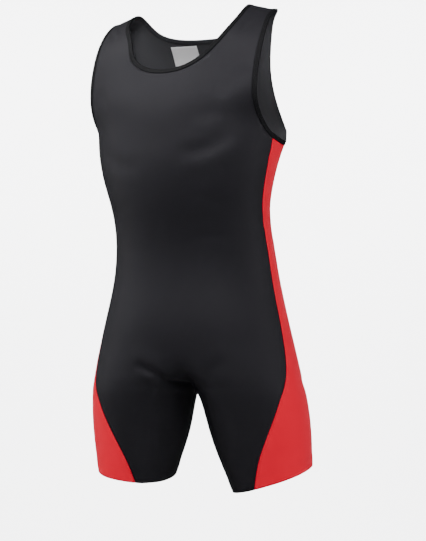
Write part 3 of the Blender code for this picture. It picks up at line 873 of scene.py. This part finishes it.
def seam_lines(surface, pair):
    """Lines along the seams between this pair of panels, ordered end to end."""
    layer = surface.faces.layers.int["panel"]
    edges = {}
    for edge in surface.edges:
        if len(edge.link_faces) == 2 and {face[layer] for face in edge.link_faces} == set(pair):
            edges[edge] = None
    lines = []
    while edges:
        ends = [
            edge for edge in edges
            if any(sum(other in edges for other in vert.link_edges) == 1 for vert in edge.verts)
        ]
        edge = ends[0] if ends else next(iter(edges))
        del edges[edge]
        first, second = edge.verts
        if sum(other in edges for other in second.link_edges) == 0:
            first, second = second, first
        chain = [first, second]
        while True:
            following = [other for other in chain[-1].link_edges if other in edges]
            if not following:
                break
            del edges[following[0]]
            chain.append(following[0].other_vert(chain[-1]))
        inwards = []
        for index, vert in enumerate(chain):
            before, after = chain[max(index - 1, 0)], chain[min(index + 1, len(chain) - 1)]
            along = (after.co - before.co).normalized()
            inside = Vector()
            for face in vert.link_faces:
                if face[layer] == min(pair):
                    inside += face.calc_center_median() - vert.co
            inside -= along * inside.dot(along)
            inside -= vert.normal * inside.dot(vert.normal)
            inwards.append(inside.normalized())
        outwards = [vert.normal for vert in chain]
        lines.append(Line([vert.co for vert in chain], outwards, inwards, closed=False))
    return lines


# The operators


class SINGLET_OT_form(bpy.types.Operator):
    """Weld the panels' outer faces into one form, smooth it and press the creases into it"""

    bl_idname = "singlet.form"
    bl_label = "Shape form"

    def execute(self, context):
        sizes = context.scene.singlet_sizes
        coarse = joined_walls()
        fine = refined(coarse, sizes.fineness)
        bpy.data.meshes.remove(coarse)
        fine.name = FORM
        surface = bmesh.new()
        surface.from_mesh(fine)
        tree = BVHTree.FromBMesh(surface)
        places = positions(fine)
        normals = vertex_normals(fine)
        for name, loop in openings(surface).items():
            if name in PUCKERS:
                line = np.array([vert.co[:] for vert in loop])
                raise_hem(places, normals, line, sizes, PUCKERS[name])
        surface.free()
        for middle, shift, reach in PULLS:
            pull_aside(places, middle, shift, reach)
        for row in CREASES:
            crease = dict(zip(CREASE_NAMES, row))
            add_crease(places, normals, crease, tree, sizes.creasing)
        fine.vertices.foreach_set("co", places.ravel())
        fine.update()
        return {"FINISHED"}


class SINGLET_OT_panels(bpy.types.Operator):
    """Cut the form into its four panels and give the cloth its thickness"""

    bl_idname = "singlet.panels"
    bl_label = "Cut panels"

    def execute(self, context):
        sizes = context.scene.singlet_sizes
        for number, name in enumerate(PANELS):
            panel = opened_form()
            layer = panel.faces.layers.int["panel"]
            sunk = {}
            for vert in panel.verts:
                own = [face for face in vert.link_faces if face[layer] == number]
                if own and len(own) < len(vert.link_faces):
                    inside = sum((face.calc_center_median() for face in own), Vector())
                    inside = inside / len(own) - vert.co
                    inside -= vert.normal * inside.dot(vert.normal)
                    step = inside.normalized() * sizes.seam_gap / 2
                    sunk[vert] = step - vert.normal * sizes.seam_sink
            for vert, step in sunk.items():
                vert.co += step
            others = [face for face in panel.faces if face[layer] != number]
            bmesh.ops.delete(panel, geom=others, context="FACES")
            mesh = bpy.data.meshes.new(name)
            panel.to_mesh(mesh)
            panel.free()
            finish = FINISH[name]
            # the inner wall takes the inside finish; the dark one is partly painted light
            piece = finished_piece(
                name + "_cloth", mesh, (finish, finish + "_inside"), (name,)
            )
            wall = piece.modifiers.new("thickness", "SOLIDIFY")
            wall.thickness = sizes.cloth
            wall.offset = -1.0
            wall.material_offset = 1
            wall.use_rim = True
        return {"FINISHED"}


class SINGLET_OT_bindings(bpy.types.Operator):
    """Fold the elastic over the edges of the neck and both armholes"""

    bl_idname = "singlet.bindings"
    bl_label = "Bind edges"

    def execute(self, context):
        sizes = context.scene.singlet_sizes
        surface = opened_form()
        for name, loop in openings(surface).items():
            if name.startswith("hem"):
                continue
            self.bind(name, Line.round_opening(loop), sizes)
        surface.free()
        return {"FINISHED"}

    def profile(self, sizes):
        """The strip's section: down one side, over the edge of the cloth and down the other."""
        steps, turns = BAND_STEPS, BAND_TURNS
        lap = sizes.binding_lap
        high = sizes.binding_thick / 2
        top = -sizes.binding_width + high
        points = [(lap + BAND_TUCK, sizes.binding_strip - sizes.cloth / 2)]
        points += [(lap + (top - lap) * step / steps, high) for step in range(steps)]
        for turn in range(turns + 1):
            angle = math.pi * turn / turns
            points.append((top - high * math.sin(angle), high * math.cos(angle)))
        points += [(top + (lap - top) * (step + 1) / steps, -high) for step in range(steps)]
        points.append((lap + BAND_TUCK, -sizes.binding_strip - sizes.cloth / 2))
        return [(across, lift - sizes.cloth / 2) for across, lift in points]

    def bind(self, name, line, sizes):
        """Draws the section round one opening, a step at a time."""
        band = bmesh.new()
        flat = band.loops.layers.uv.new("cloth")
        runs, whole = line.lengths()
        profile = self.profile(sizes)
        count = len(line.places)
        ring = [band.verts.new(place) for place in line.places]
        edges = [band.edges.new((ring[i], ring[(i + 1) % count])) for i in range(count)]
        step_of = {vert: 0 for vert in ring}
        index_of = {vert: index for index, vert in enumerate(ring)}
        for step in range(1, len(profile)):
            made = bmesh.ops.extrude_edge_only(band, edges=edges)["geom"]
            edges = [part for part in made if isinstance(part, bmesh.types.BMEdge)]
            fresh = {part for part in made if isinstance(part, bmesh.types.BMVert)}
            for vert in fresh:
                below = next(e.other_vert(vert) for e in vert.link_edges
                             if e.other_vert(vert) not in fresh)
                step_of[vert], index_of[vert] = step, index_of[below]
        for vert, index in index_of.items():
            across, lift = profile[step_of[vert]]
            run = runs[index]
            ripple = BAND_RIPPLE * math.sin(run * 520) * math.sin(run * 187 + 1)
            vert.co = line.places[index] + line.inwards[index] * across
            vert.co += line.outwards[index] * (lift + ripple)
        wraps = [0.0]
        for (across, lift), (next_across, next_lift) in zip(profile, profile[1:]):
            wraps.append(wraps[-1] + math.hypot(next_across - across, next_lift - lift))
        for face in band.faces:
            last = {index_of[loop.vert] for loop in face.loops} == {0, count - 1}
            # faces past that step take the elastic painted lighter, as painted light on the inner
            # side
            face.material_index = min(step_of[vert] for vert in face.verts) >= BAND_PAINTED_LIGHT_STEP
            for loop in face.loops:
                index = index_of[loop.vert]
                run = whole if last and index == 0 else runs[index]
                loop[flat].uv = (run, wraps[step_of[loop.vert]])
        bmesh.ops.recalc_face_normals(band, faces=band.faces)
        outer = [face for face in band.faces if step_of[face.loops[0].vert] < BAND_STEPS]
        if sum(face.normal.dot(line.outwards[index_of[face.verts[0]]]) for face in outer) < 0:
            bmesh.ops.reverse_faces(band, faces=band.faces)
        mesh = bpy.data.meshes.new(name + "_binding")
        band.to_mesh(mesh)
        band.free()
        node = "neck_binding" if name == "neck" else "armhole_binding_" + name.split("_")[1]
        # the second finish is the elastic painted lighter, as painted light on the inner side
        finishes = ("edge_elastic", "edge_elastic_inside")
        piece = finished_piece(node + "_elastic", mesh, finishes, (node,))
        strip = piece.modifiers.new("thickness", "SOLIDIFY")
        strip.thickness = sizes.binding_strip
        strip.offset = -1.0


class SINGLET_OT_stitching(bpy.types.Operator):
    """Sew the bindings, the seams and the leg hems"""

    bl_idname = "singlet.stitching"
    bl_label = "Sew"

    def execute(self, context):
        sizes = context.scene.singlet_sizes
        surface = opened_form()
        tree = BVHTree.FromBMesh(surface)
        pattern = one_stitch(sizes)
        for name, loop in openings(surface).items():
            line = Line.round_opening(loop)
            if name.startswith("hem"):
                self.sew_hem(name, line, tree, surface, pattern, sizes)
            else:
                rise = sizes.binding_thick / 2 - sizes.cloth / 2
                wide = sizes.binding_width
                rows = [line.moved(-wide * share, lift=rise) for share in BINDING_ROWS]
                mesh = sew(rows, pattern, sizes)
                finished_piece(name + "_stitching", mesh, ("dark_thread",))
        seams = {
            "side_seam_stitching_left": ((0, 2), (1, 2)),
            "side_seam_stitching_right": ((0, 3), (1, 3)),
            "shoulder_and_inseam_stitching": ((0, 1),),
        }
        for name, pairs in seams.items():
            rows = [
                line.moved(SEAM_ROW, tree, sizes.thread * THREAD_OFF)
                for pair in pairs for line in seam_lines(surface, pair)
            ]
            mesh = sew(rows, pattern, sizes)
            finished_piece(name, mesh, ("dark_thread",))
        surface.free()
        bpy.data.meshes.remove(pattern)
        return {"FINISHED"}

    def sew_hem(self, name, line, tree, surface, pattern, sizes):
        """Two rows along the top of the hem, red where they cross the red panel."""
        layer = surface.faces.layers.int["panel"]
        surface.faces.ensure_lookup_table()
        lift = sizes.thread * THREAD_OFF
        rows = [line.moved(sizes.hem + step, tree, lift) for step in HEM_ROWS]
        parts = {"dark": [], "red": []}
        for row in rows:
            kinds = []
            for place in row.places:
                face = surface.faces[tree.find_nearest(place)[2]]
                kinds.append("red" if face[layer] > 1 else "dark")
            start = next(i for i in range(len(kinds)) if kinds[i] != kinds[i - 1])
            order = [(start + i) % len(kinds) for i in range(len(kinds) + 1)]
            run = [order[0]]
            for index in order[1:]:
                run.append(index)
                if kinds[index] != kinds[run[0]] or index == order[-1]:
                    parts[kinds[run[0]]].append(Line(
                        [row.places[i] for i in run], [row.outwards[i] for i in run],
                        [row.inwards[i] for i in run], closed=False,
                    ))
                    run = [index]
        for kind, lines in parts.items():
            mesh = sew([line for line in lines if len(line.places) > 1], pattern, sizes)
            finished_piece(f"{name}_{kind}_stitching", mesh, (kind + "_thread",))


class SINGLET_OT_label(bpy.types.Operator):
    """Sew a blank woven label inside the back of the neck"""

    bl_idname = "singlet.label"
    bl_label = "Sew label"

    def execute(self, context):
        sizes = context.scene.singlet_sizes
        low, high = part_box("neck_label")
        middle = (low + high) / 2
        surface = opened_form()
        cloth = BVHTree.FromBMesh(surface)
        surface.free()
        label = bmesh.new()
        flat = label.loops.layers.uv.new("cloth")
        across, down = LABEL_FACES
        bmesh.ops.create_grid(label, x_segments=across, y_segments=down, size=0.5)
        gap = sizes.cloth + LABEL_OFF
        for face in label.faces:
            for loop in face.loops:
                loop[flat].uv = (
                    loop.vert.co.x * sizes.label_width, loop.vert.co.y * sizes.label_height
                )
        for vert in label.verts:
            share = vert.co.copy()
            seen_from = Vector((
                middle.x + share.x * sizes.label_width, low.y - LABEL_SIGHT,
                middle.z + share.y * sizes.label_height,
            ))
            place, outward, _, _ = cloth.ray_cast(seen_from, Vector((0, 1, 0)))
            inside = -outward if outward.y > 0 else outward
            loose = 0.5 - share.y
            bulge = LABEL_WAVE * loose * math.cos(share.x * 5.2) + LABEL_FALL * loose**2
            vert.co = place + inside * (gap + bulge)
        bmesh.ops.recalc_face_normals(label, faces=label.faces)
        mesh = bpy.data.meshes.new("neck_label")
        label.to_mesh(mesh)
        piece = finished_piece(
            "neck_label_ribbon", mesh, ("label_cloth",), ("neck_label",)
        )
        wall = piece.modifiers.new("thickness", "SOLIDIFY")
        wall.thickness = sizes.label_thick
        wall.offset = 0.0
        edge = piece.modifiers.new("edge", "BEVEL")
        edge.width = LABEL_BEVEL
        edge.segments = 2
        edge.limit_method = "ANGLE"
        self.sew_down(label, sizes)
        label.free()
        return {"FINISHED"}

    def sew_down(self, label, sizes):
        """A row of white stitches just inside the label's four edges."""
        loop = edge_loops(label)[0]
        line = Line.round_opening(loop)
        facing = 1 if line.outwards[0].y < 0 else -1
        line.outwards = [outward * facing for outward in line.outwards]
        pattern = one_stitch(sizes)
        row = line.moved(LABEL_ROW, lift=sizes.label_thick / 2)
        mesh = sew([row], pattern, sizes)
        bpy.data.meshes.remove(pattern)
        finished_piece("neck_label_stitching", mesh, ("label_thread",))


# The stage


def around(azimuth, reach, height):
    """A place this far from the garment: azimuth 0 is in front of the chest, 90 at its left."""
    turn = math.radians(azimuth)
    return Vector((reach * math.sin(turn), -reach * math.cos(turn), height))


class SINGLET_OT_stage(bpy.types.Operator):
    """Set up the floor, the soft lights and the camera"""

    bl_idname = "singlet.stage"
    bl_label = "Set stage"

    def execute(self, context):
        self.backdrop(context)
        self.lights(context)
        self.camera(context)
        return {"FINISHED"}

    def backdrop(self, context):
        """A pale floor that sweeps up into a wall far behind, square to the camera."""
        profile = bmesh.new()
        floor, wide, far, near, bend, high = -1.95, 9.0, 4.5, -6.0, 1.5, 6.0
        spots = [(near, floor), (far - bend, floor)]
        for step in range(1, 13):
            turn = math.radians(90 * step / 12)
            spots.append((far - bend + bend * math.sin(turn), floor + bend * (1 - math.cos(turn))))
        spots.append((far, high))
        verts = [profile.verts.new((-wide, y, z)) for y, z in spots]
        edges = [profile.edges.new(pair) for pair in zip(verts, verts[1:])]
        made = bmesh.ops.extrude_edge_only(profile, edges=edges)["geom"]
        fresh = [part for part in made if isinstance(part, bmesh.types.BMVert)]
        bmesh.ops.translate(profile, verts=fresh, vec=(2 * wide, 0, 0))
        turn = Matrix.Rotation(math.radians(CAMERA_AZIMUTH), 3, "Z")
        bmesh.ops.rotate(profile, verts=profile.verts, matrix=turn)
        bmesh.ops.recalc_face_normals(profile, faces=profile.faces)
        mesh = bpy.data.meshes.new("studio_floor")
        profile.to_mesh(mesh)
        profile.free()
        mesh.shade_smooth()
        mesh.materials.append(studio_white("studio_white", context.scene.singlet_colours.floor))
        sweep = bpy.data.objects.new("studio_floor", mesh)
        sweep.visible_glossy = False
        context.scene.collection.objects.link(sweep)

    def lights(self, context):
        world = bpy.data.worlds.new("studio")
        context.scene.world = world
        world.use_nodes = True
        world.node_tree.nodes["Background"].inputs["Color"].default_value = (1, 1, 1, 1)
        world.node_tree.nodes["Background"].inputs["Strength"].default_value = WORLD_STRENGTH
        for row in LIGHTS:
            light = dict(zip(LIGHT_NAMES, row))
            data = bpy.data.lights.new(light["name"], "AREA")
            data.shape = "RECTANGLE"
            data.size, data.size_y = light["size"]
            data.energy = light["power"]
            lamp = bpy.data.objects.new(light["name"], data)
            lamp.location = around(light["azimuth"], light["reach"], light["height"])
            aim = around(light["aim_azimuth"], light["aim_reach"], light["aim_height"])
            lamp.rotation_euler = (aim - lamp.location).to_track_quat("-Z", "Y").to_euler()
            context.scene.collection.objects.link(lamp)

    def camera(self, context):
        data = bpy.data.cameras.new("camera")
        data.lens = CAMERA_LENS
        data.shift_x = CAMERA_SHIFT[0]
        data.shift_y = CAMERA_SHIFT[1]
        data.clip_end = 50
        camera = bpy.data.objects.new("camera", data)
        camera.location = around(CAMERA_AZIMUTH, CAMERA_REACH, CAMERA_HEIGHT)
        camera.rotation_euler = (math.pi / 2, 0, math.radians(CAMERA_AZIMUTH))
        context.scene.collection.objects.link(camera)
        context.scene.camera = camera


class SINGLET_PT_panel(bpy.types.Panel):
    """The steps of making the singlet, in order"""

    bl_idname = "SINGLET_PT_panel"
    bl_label = "Wrestling singlet"
    bl_space_type = "VIEW_3D"
    bl_region_type = "UI"
    bl_category = "Singlet"

    def draw(self, context):
        for group in (context.scene.singlet_sizes, context.scene.singlet_colours):
            box = self.layout.box()
            for name in group.bl_rna.properties.keys():
                if name not in ("rna_type", "name"):
                    box.prop(group, name)
        for step in STEPS:
            self.layout.operator(step.bl_idname)


STEPS = (
    SINGLET_OT_form,
    SINGLET_OT_panels,
    SINGLET_OT_bindings,
    SINGLET_OT_stitching,
    SINGLET_OT_label,
    SINGLET_OT_stage,
)
CLASSES = (SingletSizes, SingletColours, *STEPS, SINGLET_PT_panel)


def register():
    for kind in CLASSES:
        bpy.utils.register_class(kind)
    bpy.types.Scene.singlet_sizes = PointerProperty(type=SingletSizes)
    bpy.types.Scene.singlet_colours = PointerProperty(type=SingletColours)


def unregister():
    del bpy.types.Scene.singlet_colours
    del bpy.types.Scene.singlet_sizes
    for kind in reversed(CLASSES):
        bpy.utils.unregister_class(kind)


def main():
    register()
    bpy.ops.singlet.form()
    bpy.ops.singlet.panels()
    bpy.ops.singlet.bindings()
    bpy.ops.singlet.stitching()
    bpy.ops.singlet.label()
    bpy.ops.singlet.stage()


if __name__ == "__main__":
    main()
